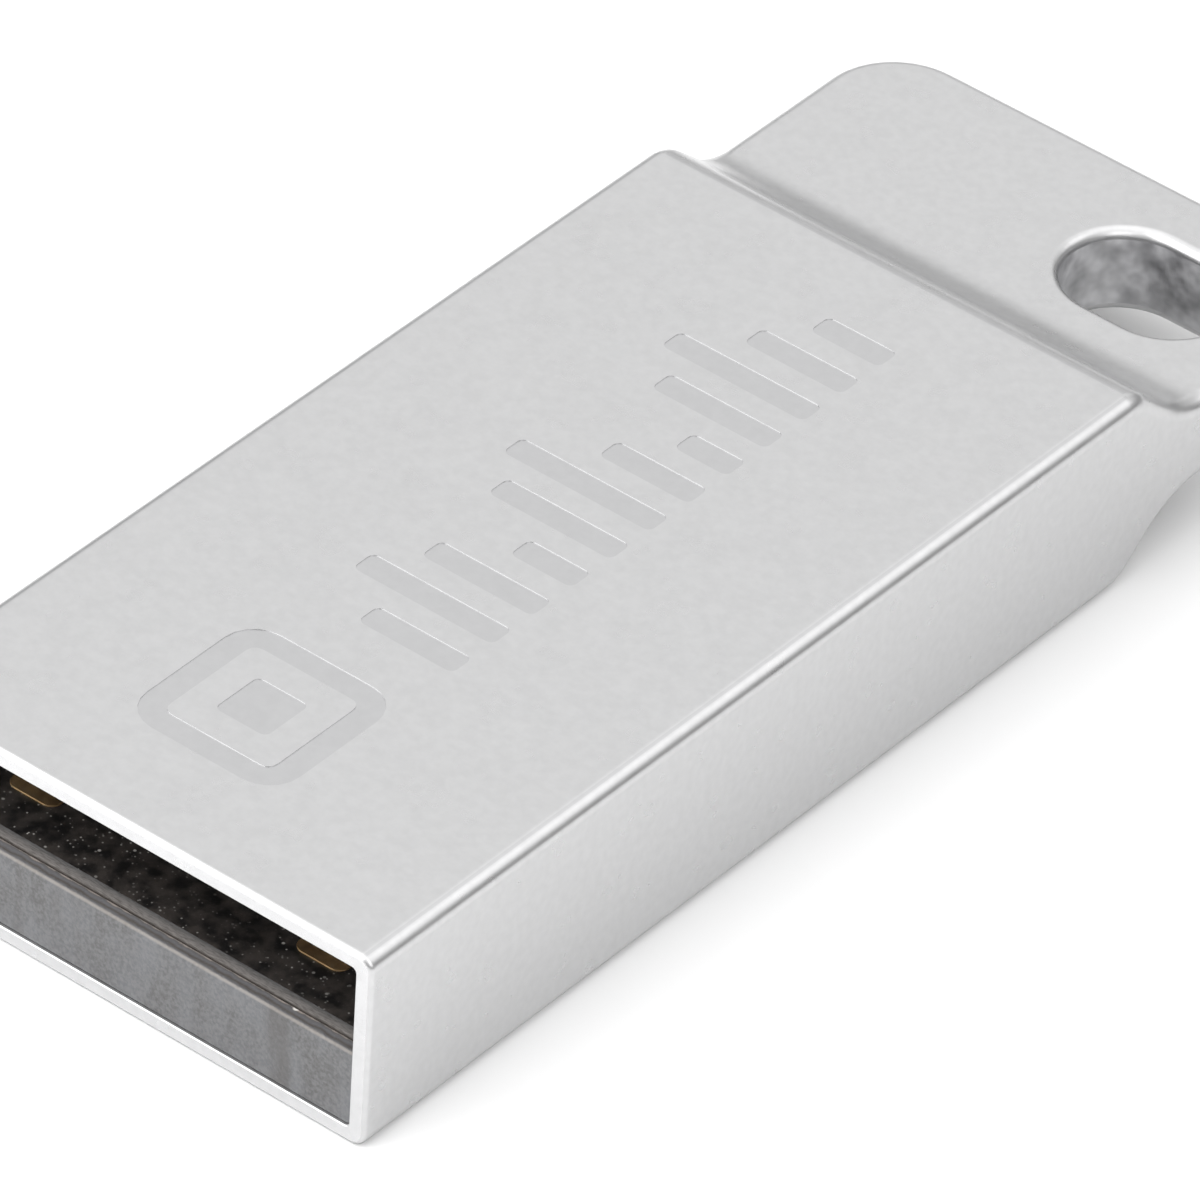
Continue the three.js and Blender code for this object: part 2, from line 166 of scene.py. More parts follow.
# The block is cut where the slope begins and ends, and its rear is thinned to the tab.
case = add_block("case_shell", case_low, case_high)
crest_reach = crest_radius * tan(step_angle / 2)
fillet_reach = fillet_radius * tan(step_angle / 2)
slope_start = corner_below_y
slope_end = slope_start + tab_bottom / tan(step_angle)
step_stagger = 0.3 * MM  # a little more than the top's corners stand behind the underside's
edit(case)
cut_across(slope_start)
cut_across(slope_end)
pick("verts", lambda v: v.co.y > slope_end - NEAR and v.co.z > case_top / 2)
bpy.ops.transform.translate(value=(0, 0, tab_top - case_top))
pick("verts", lambda v: v.co.y > slope_end - NEAR and v.co.z < NEAR)
bpy.ops.transform.translate(value=(0, 0, tab_bottom))
pick("verts", lambda v: slope_start - NEAR < v.co.y < slope_end + NEAR and v.co.z > case_top / 2)
bpy.ops.transform.translate(value=(0, corner_above_y - corner_below_y, 0))

# Round rear corners in plan, then the crests and the wider fillets of the step. The sides are
# made one flat face each again, so that nothing on them is in the way of their outline.
flat_angle = radians(0.5)
pick("edges", lambda e: runs_along(e, 2) and is_near(middle(e).y, case_high.y))
round_edges(tab_corner, 16)
for start, reach, segments in ((slope_start, crest_reach, 6), (slope_end, fillet_reach, 14)):
    pick("edges", lambda e: runs_along(e, 0) and start - NEAR < middle(e).y < start + step_stagger)
    round_edges(reach, segments)
bpy.ops.mesh.select_all(action="SELECT")
bpy.ops.mesh.dissolve_limited(angle_limit=flat_angle)

# Every outside edge but the mouth's is rounded, and then the mouth's rim in one smooth loop.
pick("edges", lambda e: e.calc_face_angle(0) > radians(60) and middle(e).y > mouth_y + NEAR)
round_edges(long_edge_radius, 8)
pick("edges", lambda e: all(is_near(v.co.y, mouth_y) for v in e.verts))
round_edges(rim_edge_radius, 5)
stop_editing()

# The cavity is cut from the mouth by a block with rounded corners, flared a little at the rim.
inner_side = case_side - wall
cavity_cutter = add_block(
    "cavity_cutter",
    (-inner_side, mouth_y + cavity_chamfer, wall),
    (inner_side, mouth_y + cavity_depth, case_top - wall),
)
edit(cavity_cutter)
pick("edges", lambda e: runs_along(e, 1))
round_edges(cavity_corner_radius, 5)
pick("faces", lambda f: f.normal.y < -0.9)
past_the_mouth = 0.1 * MM
flare = cavity_chamfer + past_the_mouth
bpy.ops.mesh.extrude_region_move(TRANSFORM_OT_translate={"value": (0, -flare, 0)})
bpy.ops.transform.resize(
    value=(1 + flare / inner_side, 1, 1 + flare / (case_top / 2 - wall)),
    center_override=(0, mouth_y, case_top / 2),
)
stop_editing()
apply_boolean(case, cavity_cutter)

# The slot is cut through the tab, and its rims are rounded where the ring rubs. The tab's flat faces
# are split at the slot's middle first, so that every edge meets the rim squarely.
edit(case)
pick("faces", lambda f: abs(f.normal.z) > 0.99 and f.calc_center_median().y > slope_end)
bpy.ops.mesh.bisect(plane_co=(slot_centre.x, 0, 0), plane_no=(1, 0, 0))
stop_editing()
slot_end_flat = 0.001 * MM  # keeps the two roundings at each end of the slot from meeting
slot_half = Vector((slot_length / 2, slot_width / 2, 0))
slot_cutter = add_block(
    "slot_cutter",
    slot_centre - slot_half,
    slot_centre + slot_half + Vector((0, 0, case_top)),
)
edit(slot_cutter)
pick("edges", lambda e: runs_along(e, 2))
round_edges(slot_width / 2 - slot_end_flat, 14)
stop_editing()
apply_boolean(case, slot_cutter)


def in_slot(place):
    reach = (slot_length - slot_width) / 2
    along = max(abs(place.x - slot_centre.x) - reach, 0)
    across = place.y - slot_centre.y
    return (along ** 2 + across ** 2) ** 0.5 < slot_width / 2 + NEAR


edit(case)
pick("edges", lambda e: in_slot(middle(e)) and e.calc_face_angle(0) > radians(60))
round_edges(slot_rim_radius, 6)
stop_editing()

# A shallow etched sign on the top: a plain memory-chip outline, then a row of upright bars.
etch_depth = 0.015 * MM
sign_centre = Vector((-0.25 * MM, mouth_y + 4.25 * MM, 0))
sign_size = 3.7 * MM
sign_frame = 0.55 * MM
sign_core = 1.25 * MM
frame_corner = 0.75 * MM
core_corner = 0.15 * MM
bar_foot_x = 1.7 * MM
bar_first_y = mouth_y + 7.7 * MM
bar_pitch = 1.16 * MM
bar_width = 0.6 * MM
bar_corner = 0.16 * MM
bar_heights = [2.3, 3.4, 2.7, 1.5, 3.0, 3.6, 2.2, 1.3, 2.8, 3.5, 2.4, 1.7]


def add_etched_shape(name, low_x, low_y, high_x, high_y, corner):
    """An upright prism that reaches the etching's depth below the top."""
    shape = add_block(name, (low_x, low_y, case_top - etch_depth), (high_x, high_y, case_top + MM))
    edit(shape)
    pick("edges", lambda e: runs_along(e, 2))
    round_edges(corner, 5)
    stop_editing()
    return shape


half_size = sign_size / 2
half_core = sign_core / 2
etching = [
    add_etched_shape(
        "etched_frame",
        sign_centre.x - half_size, sign_centre.y - half_size,
        sign_centre.x + half_size, sign_centre.y + half_size, frame_corner,
    ),
    add_etched_shape(
        "etched_core",
        sign_centre.x - half_core, sign_centre.y - half_core,
        sign_centre.x + half_core, sign_centre.y + half_core, core_corner,
    ),
]
edit(etching[0])
pick("faces", lambda f: abs(f.normal.z) > 0.9)
bpy.ops.mesh.inset(thickness=sign_frame)
bpy.ops.mesh.delete(type="FACE")
pick("edges", lambda e: e.is_boundary)
bpy.ops.mesh.bridge_edge_loops()
stop_editing()
for i, height in enumerate(bar_heights):
    y = bar_first_y + i * bar_pitch
    etching.append(add_etched_shape(
        f"etched_bar_{i + 1}",
        bar_foot_x - height * MM, y - bar_width / 2,
        bar_foot_x, y + bar_width / 2, bar_corner,
    ))
deselect_all()
for shape in etching:
    shape.select_set(True)
bpy.context.view_layer.objects.active = etching[0]
bpy.ops.object.join()
apply_boolean(case, etching[0])


def start_material(name):
    """A node material, with its tree and its shader."""
    finish = bpy.data.materials.new(name)
    finish.use_nodes = True
    return finish, finish.node_tree, finish.node_tree.nodes["Principled BSDF"]


def add_node(tree, kind, **values):
    made = tree.nodes.new(kind)
    for name, value in values.items():
        made.inputs[name.replace("_", " ")].default_value = value
    return made


def object_place(tree):
    return tree.nodes.new("ShaderNodeTexCoord").outputs["Object"]


def add_noise(tree, place, size, detail=2.0):
    """Noise whose patches are about the given size across."""
    noise = add_node(tree, "ShaderNodeTexNoise", Scale=1 / size, Detail=detail)
    tree.links.new(place, noise.inputs["Vector"])
    return noise.outputs["Fac"]


def spread(tree, source, low, high, to_low, to_high):
    """Maps a value's range onto another, and holds it there."""
    mapped = add_node(
        tree, "ShaderNodeMapRange", From_Min=low, From_Max=high, To_Min=to_low, To_Max=to_high,
    )
    tree.links.new(source, mapped.inputs["Value"])
    return mapped.outputs["Result"]


def shade_through(tree, source, bands):
    """A colour by a value from 0 to 1, through bands that each have a value and a colour."""
    blend = tree.nodes.new("ShaderNodeValToRGB")
    while len(blend.color_ramp.elements) < len(bands):
        blend.color_ramp.elements.new(1.0)
    for element, (position, colour) in zip(blend.color_ramp.elements, bands):
        element.position = position
        element.color = (*colour, 1)
    tree.links.new(source, blend.inputs["Fac"])
    return blend.outputs["Color"]


def shade_between(tree, source, dark, light):
    """A colour between two, by a value from 0 to 1."""
    return shade_through(tree, source, [(0.0, dark), (1.0, light)])


def add_bump(tree, shader, height, depth):
    bump = add_node(tree, "ShaderNodeBump", Distance=depth, Strength=1.0)
    tree.links.new(height, bump.inputs["Height"])
    tree.links.new(bump.outputs["Normal"], shader.inputs["Normal"])


def satin_metal(name, dark, light, patch, smoothest, roughest, grain, grain_depth):
    """Metal with patches in its tone, wider ones in its gloss, and a raised grain."""
    gloss_patch = 0.6 * MM
    finish, tree, shader = start_material(name)
    place = object_place(tree)
    mottling = spread(tree, add_noise(tree, place, patch, 2.0), 0.3, 0.7, 0, 1)
    tree.links.new(shade_between(tree, mottling, dark, light), shader.inputs["Base Color"])
    gloss = spread(tree, add_noise(tree, place, gloss_patch, 2.0), 0.3, 0.7, smoothest, roughest)
    tree.links.new(gloss, shader.inputs["Roughness"])
    add_bump(tree, shader, add_noise(tree, place, grain, 1.0), grain_depth)
    shader.inputs["Metallic"].default_value = 1.0
    return finish


case_metal = satin_metal(
    "satin_plated_metal", (0.545, 0.545, 0.548), (0.577, 0.577, 0.58), 0.2 * MM,
    0.27, 0.32, 0.16 * MM, 0.0004 * MM,
)
etched_metal = satin_metal(
    "etched_metal", (0.495, 0.495, 0.5), (0.515, 0.515, 0.52), 0.2 * MM,
    0.3, 0.36, 0.1 * MM, 0.0006 * MM,
)
slot_metal = satin_metal(
    "as_cast_metal", (0.36, 0.36, 0.37), (0.8, 0.8, 0.81), 0.6 * MM,
    0.35, 0.6, 0.25 * MM, 0.01 * MM,
)
# A lighter copy of the case metal for the mouth's front face, which faces the lamp in front: its
# lighter tone is a painted highlight, and it is also a little glossier.
mouth_face_lit_metal = satin_metal(
    "mouth_face_painted_highlight_metal", (0.62, 0.62, 0.625), (0.66, 0.66, 0.665), 0.2 * MM,
    0.22, 0.28, 0.14 * MM, 0.0004 * MM,
)
case.data.materials.clear()
for finish in (case_metal, etched_metal, slot_metal, mouth_face_lit_metal):
    case.data.materials.append(finish)


def give_finish(piece, index, test):
    """The faces that pass a test take the piece's finish of that number."""
    edit(piece)
    pick("faces", test)
    piece.active_material_index = index
    bpy.ops.object.material_slot_assign()
    stop_editing()


etched_floor = case_top - etch_depth
give_finish(case, 1, lambda f: f.normal.z > 0.9 and is_near(f.calc_center_median().z, etched_floor))
give_finish(case, 2, lambda f: in_slot(f.calc_center_median()) and abs(f.normal.z) < 0.1)
# The mouth's front face takes the lighter metal, a painted highlight.
give_finish(case, 3, lambda f: f.normal.y < -0.9 and is_near(f.calc_center_median().y, mouth_y))
smooth(case)
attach(case, "root")
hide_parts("case")


# ---- Adhesive tape ----
# Three pads of double-sided foam tape. Two hold the carrier to the case's floor, and the third
# takes up the space between the retaining block and the case's roof.

pad_corner = 0.5 * MM
pad_edge = 0.02 * MM
foam_tape, tree, shader = start_material("foam_tape")
place = object_place(tree)
cells = spread(tree, add_noise(tree, place, 0.08 * MM, 3.0), 0.35, 0.65, 0, 1)
tone = shade_between(tree, cells, (0.66, 0.64, 0.56), (0.84, 0.82, 0.75))
tree.links.new(tone, shader.inputs["Base Color"])
add_bump(tree, shader, cells, 0.01 * MM)
shader.inputs["Roughness"].default_value = 0.8

for node in ("adhesive_pad_front", "adhesive_pad_rear", "adhesive_pad_top"):
    low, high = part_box(node)
    pad = add_block(node + "_tape", low, high)
    edit(pad)
    pick("edges", lambda e: runs_along(e, 2))
    round_edges(pad_corner, 6)
    pick("edges", lambda e: abs(e.verts[0].co.z - e.verts[1].co.z) < NEAR)
    round_edges(pad_edge, 2)
    stop_editing()
    pad.data.materials.append(foam_tape)
    smooth(pad)
    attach(pad, "root")
    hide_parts(node)


# ---- Carrier ----
# A tray moulded in grey plastic that the module lies in. Its front lip closes the mouth below the
# module, and shows flow marks from moulding, an upper edge lightened partly by wear and partly by a
# painted highlight, painted highlights along the front and back of its top, and a pale speck.

carrier_low, carrier_high = (Vector(corner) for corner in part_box("module_carrier"))
floor_top = 0.78 * MM
lip_back = carrier_low.y + 0.3 * MM
lip_top = 2.05 * MM
lip_round = 0.08 * MM
lip_back_round = 0.03 * MM
stop_front = carrier_high.y - 0.4 * MM
stop_round = 0.05 * MM
carrier_corner = 0.09 * MM
foot_drop = 0.02 * MM  # brings the tray's foot close to the case's floor
tape_pocket_depth = 0.2 * MM

carrier_low.z -= foot_drop
carrier = add_block("carrier_tray", carrier_low, (carrier_high.x, carrier_high.y, floor_top))
edit(carrier)
cut_across(lip_back)
cut_across(stop_front)
pick("faces", lambda f: f.normal.z > 0.9 and f.calc_center_median().y < lip_back)
bpy.ops.mesh.extrude_region_move(TRANSFORM_OT_translate={"value": (0, 0, lip_top - floor_top)})
pick("faces", lambda f: f.normal.z > 0.9 and f.calc_center_median().y > stop_front)
bpy.ops.mesh.extrude_region_move(
    TRANSFORM_OT_translate={"value": (0, 0, carrier_high.z - floor_top)},
)
bpy.ops.mesh.select_all(action="SELECT")
bpy.ops.mesh.dissolve_limited(angle_limit=flat_angle)
pick("edges", lambda e: runs_along(e, 1) and is_near(middle(e).z, carrier_low.z))
round_edges(carrier_corner, 5)


def at_height(edge, z):
    return runs_along(edge, 0) and is_near(middle(edge).z, z)


pick("edges", lambda e: at_height(e, lip_top) and middle(e).y < lip_back - NEAR)
round_edges(lip_round, 5)
pick("edges", lambda e: at_height(e, lip_top) and is_near(middle(e).y, lip_back))
round_edges(lip_back_round, 3)
pick("edges", lambda e: at_height(e, carrier_high.z))
round_edges(stop_round, 3)
stop_editing()

# The tape sits in two shallow pockets in the tray's underside.
pocket_margin = Vector((0.05, 0.05, 0)) * MM
pocket_reach = Vector((0, 0, tape_pocket_depth))
for node in ("adhesive_pad_front", "adhesive_pad_rear"):
    low, high = (Vector(corner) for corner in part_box(node))
    pocket = add_block("tape_pocket", low - pocket_margin - pocket_reach, high + pocket_margin)
    apply_boolean(carrier, pocket)


def stretch(tree, place, x, y, z):
    """Draws a pattern out along the axes given small numbers."""
    mapping = add_node(tree, "ShaderNodeMapping", Scale=(x, y, z))
    tree.links.new(place, mapping.inputs["Vector"])
    return mapping.outputs["Vector"]


def blend_colours(tree, amount, first, second):
    """The second colour over the first, by an amount from 0 to 1."""
    blend = tree.nodes.new("ShaderNodeMix")
    blend.data_type = "RGBA"
    tree.links.new(amount, blend.inputs[0])
    for socket, colour in ((blend.inputs[6], first), (blend.inputs[7], second)):
        if isinstance(colour, tuple):
            socket.default_value = (*colour, 1)
        else:
            tree.links.new(colour, socket)
    return blend.outputs[2]


def calculate(tree, operation, first, second):
    """One sum on two values, each a socket or a number."""
    made = tree.nodes.new("ShaderNodeMath")
    made.operation = operation
    for socket, value in zip(made.inputs, (first, second)):
        if isinstance(value, (int, float)):
            socket.default_value = value
        else:
            tree.links.new(value, socket)
    return made.outputs["Value"]


def coordinate(tree, place, axis):
    split = tree.nodes.new("ShaderNodeSeparateXYZ")
    tree.links.new(place, split.inputs["Vector"])
    return split.outputs[axis]


grey_plastic, tree, shader = start_material("grey_moulded_plastic")
place = object_place(tree)
flow_noise = add_noise(tree, stretch(tree, place, 1, 1, 0.45), 0.8 * MM, 4.0)
flow = spread(tree, flow_noise, 0.38, 0.62, 0, 1)
mottle = spread(tree, add_noise(tree, place, 0.07 * MM, 3.0), 0.35, 0.65, 0, 1)
smear_noise = add_noise(tree, stretch(tree, place, 1, 1, 0.2), 1.5 * MM, 2.0)
smears = spread(tree, smear_noise, 0.56, 0.68, 0, 0.6)
tone = shade_between(tree, flow, (0.078, 0.077, 0.077), (0.105, 0.108, 0.114))
tone = blend_colours(tree, calculate(tree, "MULTIPLY", mottle, 0.6), tone, (0.16, 0.16, 0.165))
tone = blend_colours(tree, smears, tone, (0.06, 0.054, 0.05))
height = coordinate(tree, place, "Z")
# Lighter from just below the lip's top upwards: partly wear, partly a painted highlight along the
# lip's top edge.
wear_and_edge_highlight = spread(tree, height, lip_top - 0.06 * MM, lip_top - 0.03 * MM, 0, 0.5)
tone = blend_colours(tree, wear_and_edge_highlight, tone, (0.26, 0.23, 0.2))

# Across the lip's top: a painted highlight on the front edge, grey, a darker brown band, grey, and a
# painted highlight on the back edge.
lip_bands = [
    (0.0, (0.16, 0.15, 0.14)), (0.25, (0.12, 0.12, 0.125)), (0.45, (0.085, 0.075, 0.068)),
    (0.65, (0.14, 0.14, 0.148)), (0.84, (0.11, 0.105, 0.105)), (0.92, (0.32, 0.28, 0.25)),
]
wander = spread(tree, add_noise(tree, place, 0.25 * MM, 3.0), 0.3, 0.7, -0.025 * MM, 0.025 * MM)
across = calculate(tree, "ADD", coordinate(tree, place, "Y"), wander)
lip_top_tone_and_highlights = shade_through(tree, spread(tree, across, carrier_low.y, lip_back, 0, 1), lip_bands)
on_top = spread(tree, height, lip_top - 0.012 * MM, lip_top - 0.004 * MM, 0, 1)
tone = blend_colours(tree, on_top, tone, lip_top_tone_and_highlights)

# A pale speck painted on the lip's back edge, at one place.
pale_speck_place = (4.0 * MM, lip_back - 0.01 * MM, lip_top)
to_pale_speck = add_node(tree, "ShaderNodeVectorMath")
to_pale_speck.operation = "DISTANCE"
to_pale_speck.inputs[1].default_value = pale_speck_place
tree.links.new(place, to_pale_speck.inputs[0])
pale_speck = spread(tree, to_pale_speck.outputs["Value"], 0.05 * MM, 0.08 * MM, 1, 0)
tone = blend_colours(tree, pale_speck, tone, (0.75, 0.72, 0.68))
tree.links.new(tone, shader.inputs["Base Color"])
tree.links.new(spread(tree, flow, 0, 1, 0.5, 0.38), shader.inputs["Roughness"])
add_bump(tree, shader, mottle, 0.004 * MM)
carrier.data.materials.clear()
carrier.data.materials.append(grey_plastic)
smooth(carrier)
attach(carrier, "root")
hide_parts("module_carrier")


# ---- Circuit board ----
# The module's upper half is a thin glass-fibre laminate under black solder mask. Its front edge is
# milled to a slope, which leaves the fibre layers bare. Dust has settled on the mask.

board_low, board_high = (Vector(corner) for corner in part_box("module_substrate"))
slope_height = 0.15 * MM
slope_depth = 0.12 * MM
board_edge = 0.012 * MM

board = add_block("circuit_board", board_low, board_high)
edit(board)
cut_across(board_low.y + slope_depth)
pick("verts", lambda v: is_near(v.co.y, board_low.y) and is_near(v.co.z, board_high.z))
bpy.ops.transform.translate(value=(0, 0, -slope_height))
bpy.ops.mesh.select_all(action="SELECT")
bpy.ops.mesh.dissolve_limited(angle_limit=flat_angle)
pick("edges", lambda e: e.calc_face_angle(0) > radians(30))
round_edges(board_edge, 2)
stop_editing()

solder_mask, tree, shader = start_material("black_solder_mask")
place = object_place(tree)
clouds = spread(tree, add_noise(tree, place, 0.3 * MM, 5.0), 0.38, 0.62, 0, 1)
tone = shade_between(tree, clouds, (0.006, 0.0055, 0.0055), (0.036, 0.031, 0.028))
dust = None
for speck_pitch, speck_size in ((0.1 * MM, 0.24), (0.25 * MM, 0.16)):
    cells = add_node(tree, "ShaderNodeTexVoronoi", Scale=1 / speck_pitch)
    tree.links.new(place, cells.inputs["Vector"])
    specks = spread(tree, cells.outputs["Distance"], speck_size * 0.6, speck_size, 1, 0)
    chosen = spread(tree, coordinate(tree, cells.outputs["Color"], "X"), 0.35, 0.95, 0, 1)
    specks = calculate(tree, "MULTIPLY", specks, chosen)
    dust = specks if dust is None else calculate(tree, "MAXIMUM", dust, specks)
drift = spread(tree, add_noise(tree, place, 1.6 * MM, 2.0), 0.4, 0.6, 0.35, 1)
dust = calculate(tree, "MULTIPLY", dust, drift)
tree.links.new(blend_colours(tree, dust, tone, (0.34, 0.33, 0.31)), shader.inputs["Base Color"])
tree.links.new(spread(tree, dust, 0, 1, 0.42, 0.9), shader.inputs["Roughness"])
add_bump(tree, shader, add_noise(tree, place, 0.06 * MM, 2.0), 0.003 * MM)

bare_laminate, tree, shader = start_material("bare_laminate")
place = object_place(tree)
fibres = add_noise(tree, stretch(tree, place, 0.12, 1, 1), 0.018 * MM, 3.0)
up_the_slope = spread(
    tree, coordinate(tree, place, "Z"), board_high.z - slope_height - 0.02 * MM, board_high.z, 0, 1,
)
tone = shade_between(tree, up_the_slope, (0.13, 0.115, 0.105), (0.004, 0.0035, 0.003))
tone = blend_colours(tree, spread(tree, fibres, 0.4, 0.7, 0, 0.6), tone, (0.012, 0.01, 0.009))
tree.links.new(tone, shader.inputs["Base Color"])
tree.links.new(spread(tree, fibres, 0.3, 0.7, 0.45, 0.75), shader.inputs["Roughness"])
add_bump(tree, shader, fibres, 0.004 * MM)

board.data.materials.append(solder_mask)
board.data.materials.append(bare_laminate)
give_finish(board, 1, lambda f: abs(f.normal.z) < 0.95)
smooth(board)
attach(board, "root")
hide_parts("module_substrate")


# ---- Contacts ----
# Four gold-plated pads that the socket's springs slide along. The outer pair, for power, starts
# nearer to the mouth. The plating is scuffed lengthwise.

contact_corner = 0.25 * MM
contact_edge = 0.008 * MM
gold_plating, tree, shader = start_material("gold_plating")
place = object_place(tree)
scuffs = add_noise(tree, stretch(tree, place, 1, 0.04, 1), 0.05 * MM, 3.0)
tarnish = spread(tree, add_noise(tree, place, 0.6 * MM, 3.0), 0.35, 0.65, 0, 1)
tree.links.new(
    shade_between(tree, tarnish, (0.5, 0.33, 0.17), (0.74, 0.52, 0.27)), shader.inputs["Base Color"],
)
tree.links.new(spread(tree, scuffs, 0.3, 0.7, 0.38, 0.55), shader.inputs["Roughness"])
shader.inputs["Metallic"].default_value = 1.0


def add_contact(name, low, high):
    contact = add_block(name, low, high)
    edit(contact)
    pick("edges", lambda e: runs_along(e, 2))
    round_edges(contact_corner, 8)
    pick("edges", lambda e: is_near(min(v.co.z for v in e.verts), high.z) and e.calc_face_angle(0) > 1)
    round_edges(contact_edge, 2)
    stop_editing()
    contact.data.materials.append(gold_plating)
    smooth(contact)
    return contact


def copy_of(piece, name, shift):
    """A copy with its own mesh, moved in its mesh."""
    twin = piece.copy()
    twin.data = piece.data.copy()
    twin.name = name
    twin.data.name = name
    bpy.context.scene.collection.objects.link(twin)
    twin.data.transform(Matrix.Translation(shift))
    return twin


contact_pairs = (("contact_ground", "contact_power"), ("contact_data_plus", "contact_data_minus"))
for first, second in contact_pairs:
    low, high = (Vector(corner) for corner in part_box(first))
    contact = add_contact(first + "_plated", low, high)
    twin = copy_of(contact, second + "_plated", Vector(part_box(second)[0]) - low)
    for piece, node in ((contact, first), (twin, second)):
        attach(piece, "root")
        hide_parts(node)


# ---- Moulding under the board ----
# The chips are buried in black epoxy filled with fine silica, which fills the module's lower half
# and gives it a dull, finely granular skin.

def refinish(node, finish):
    """A piece made in the frame keeps its shape and takes this finish."""
    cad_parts[node].material_slots[0].material = finish


epoxy, tree, shader = start_material("black_epoxy")
place = object_place(tree)
grains = spread(tree, add_noise(tree, place, 0.03 * MM, 3.0), 0.35, 0.7, 0, 1)
tone = shade_between(tree, grains, (0.018, 0.018, 0.019), (0.05, 0.05, 0.052))
tree.links.new(tone, shader.inputs["Base Color"])
tree.links.new(spread(tree, grains, 0, 1, 0.75, 0.55), shader.inputs["Roughness"])
add_bump(tree, shader, grains, 0.004 * MM)
refinish("module_moulding", epoxy)


# ---- Chips and die-attach film ----
# Two memory dies in a staircase and one controller, thinned silicon with circuits in ordered
# blocks. Each is stuck down by a film of amber adhesive.

def patterned_silicon(name, block_width, block_height, dark, light):
    finish, tree, shader = start_material(name)
    place = object_place(tree)
    blocks = add_node(
        tree, "ShaderNodeTexBrick", Scale=1.0, Mortar_Size=0.02 * MM,
        Brick_Width=block_width, Row_Height=block_height,
        Color1=(*dark, 1), Color2=(*light, 1), Mortar=(0.5, 0.46, 0.36, 1),
    )
    tree.links.new(place, blocks.inputs["Vector"])
    tree.links.new(blocks.outputs["Color"], shader.inputs["Base Color"])
    haze = add_noise(tree, place, 0.3 * MM, 2.0)
    tree.links.new(spread(tree, haze, 0.3, 0.7, 0.12, 0.25), shader.inputs["Roughness"])
    add_bump(tree, shader, blocks.outputs["Fac"], 0.001 * MM)
    shader.inputs["Metallic"].default_value = 0.7
    return finish


memory_silicon = patterned_silicon(
    "memory_silicon", 2.3 * MM, 1.0 * MM, (0.24, 0.27, 0.34), (0.33, 0.34, 0.4),
)
controller_silicon = patterned_silicon(
    "controller_silicon", 0.5 * MM, 0.3 * MM, (0.2, 0.26, 0.3), (0.36, 0.36, 0.38),
)
refinish("flash_die_a", memory_silicon)
refinish("flash_die_b", memory_silicon)
refinish("controller_die", controller_silicon)

amber_film, tree, shader = start_material("amber_film")
place = object_place(tree)
streaks = spread(tree, add_noise(tree, place, 0.2 * MM, 2.0), 0.35, 0.65, 0, 1)
tone = shade_between(tree, streaks, (0.4, 0.3, 0.15), (0.55, 0.45, 0.26))
tree.links.new(tone, shader.inputs["Base Color"])
tree.links.new(spread(tree, streaks, 0, 1, 0.35, 0.5), shader.inputs["Roughness"])
for node in ("attach_film_flash_a", "attach_film_flash_b", "attach_film_controller"):
    refinish(node, amber_film)


# ---- Capacitors and resistors ----
# Four ceramic capacitors and three glazed resistors, mounted on the board's underside. Each is
# held by the tinned caps at its ends, which are soldered down.

def tinned_part(name, body_dark, body_light, node, cap_length):
    """A body in one colour between two bright tinned ends, for the part in this place."""
    low, high = (Vector(corner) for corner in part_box(node))
    finish, tree, shader = start_material(name)
    place = object_place(tree)
    grains = spread(tree, add_noise(tree, place, 0.04 * MM, 2.0), 0.35, 0.65, 0, 1)
    along = calculate(tree, "SUBTRACT", coordinate(tree, place, "Y"), (low.y + high.y) / 2)
    from_middle = calculate(tree, "ABSOLUTE", along, 0)
    cap_start = (high.y - low.y) / 2 - cap_length
    is_cap = spread(tree, from_middle, cap_start - 0.01 * MM, cap_start + 0.01 * MM, 0, 1)
    body = shade_between(tree, grains, body_dark, body_light)
    tin = shade_between(tree, grains, (0.62, 0.62, 0.6), (0.8, 0.8, 0.78))
    tree.links.new(blend_colours(tree, is_cap, body, tin), shader.inputs["Base Color"])
    tree.links.new(is_cap, shader.inputs["Metallic"])
    tree.links.new(spread(tree, grains, 0, 1, 0.35, 0.5), shader.inputs["Roughness"])
    add_bump(tree, shader, grains, 0.002 * MM)
    return finish


for i in range(1, 5):
    node = f"capacitor_{i}"
    ceramic = tinned_part(node + "_ceramic", (0.4, 0.28, 0.17), (0.5, 0.37, 0.24), node, 0.25 * MM)
    refinish(node, ceramic)
for i in range(1, 4):
    node = f"resistor_{i}"
    glaze = tinned_part(node + "_glaze", (0.02, 0.02, 0.022), (0.045, 0.045, 0.05), node, 0.15 * MM)
    refinish(node, glaze)


# ---- Bond wires ----
# Drawn gold wire, thinner than a hair, from each die's pads to the board. Both ends are welded
# on by heat and ultrasound before the moulding goes round them.

drawn_gold, tree, shader = start_material("drawn_gold")
place = object_place(tree)
lines = spread(tree, add_noise(tree, place, 0.02 * MM, 2.0), 0.35, 0.65, 0, 1)
tone = shade_between(tree, lines, (0.82, 0.6, 0.26), (0.95, 0.74, 0.38))
tree.links.new(tone, shader.inputs["Base Color"])
tree.links.new(spread(tree, lines, 0, 1, 0.15, 0.3), shader.inputs["Roughness"])
shader.inputs["Metallic"].default_value = 1.0
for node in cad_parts:
    if node.startswith("bond_wire"):
        refinish(node, drawn_gold)


# ---- Retaining block ----
# A block moulded in black plastic fills the case above the module behind the plug, so that the
# module can't lift. Its front edge is chamfered to clear the socket's shell.

block_low, block_high = (Vector(corner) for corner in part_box("retaining_block"))
block_chamfer = 0.6 * MM
block_edge = 0.06 * MM

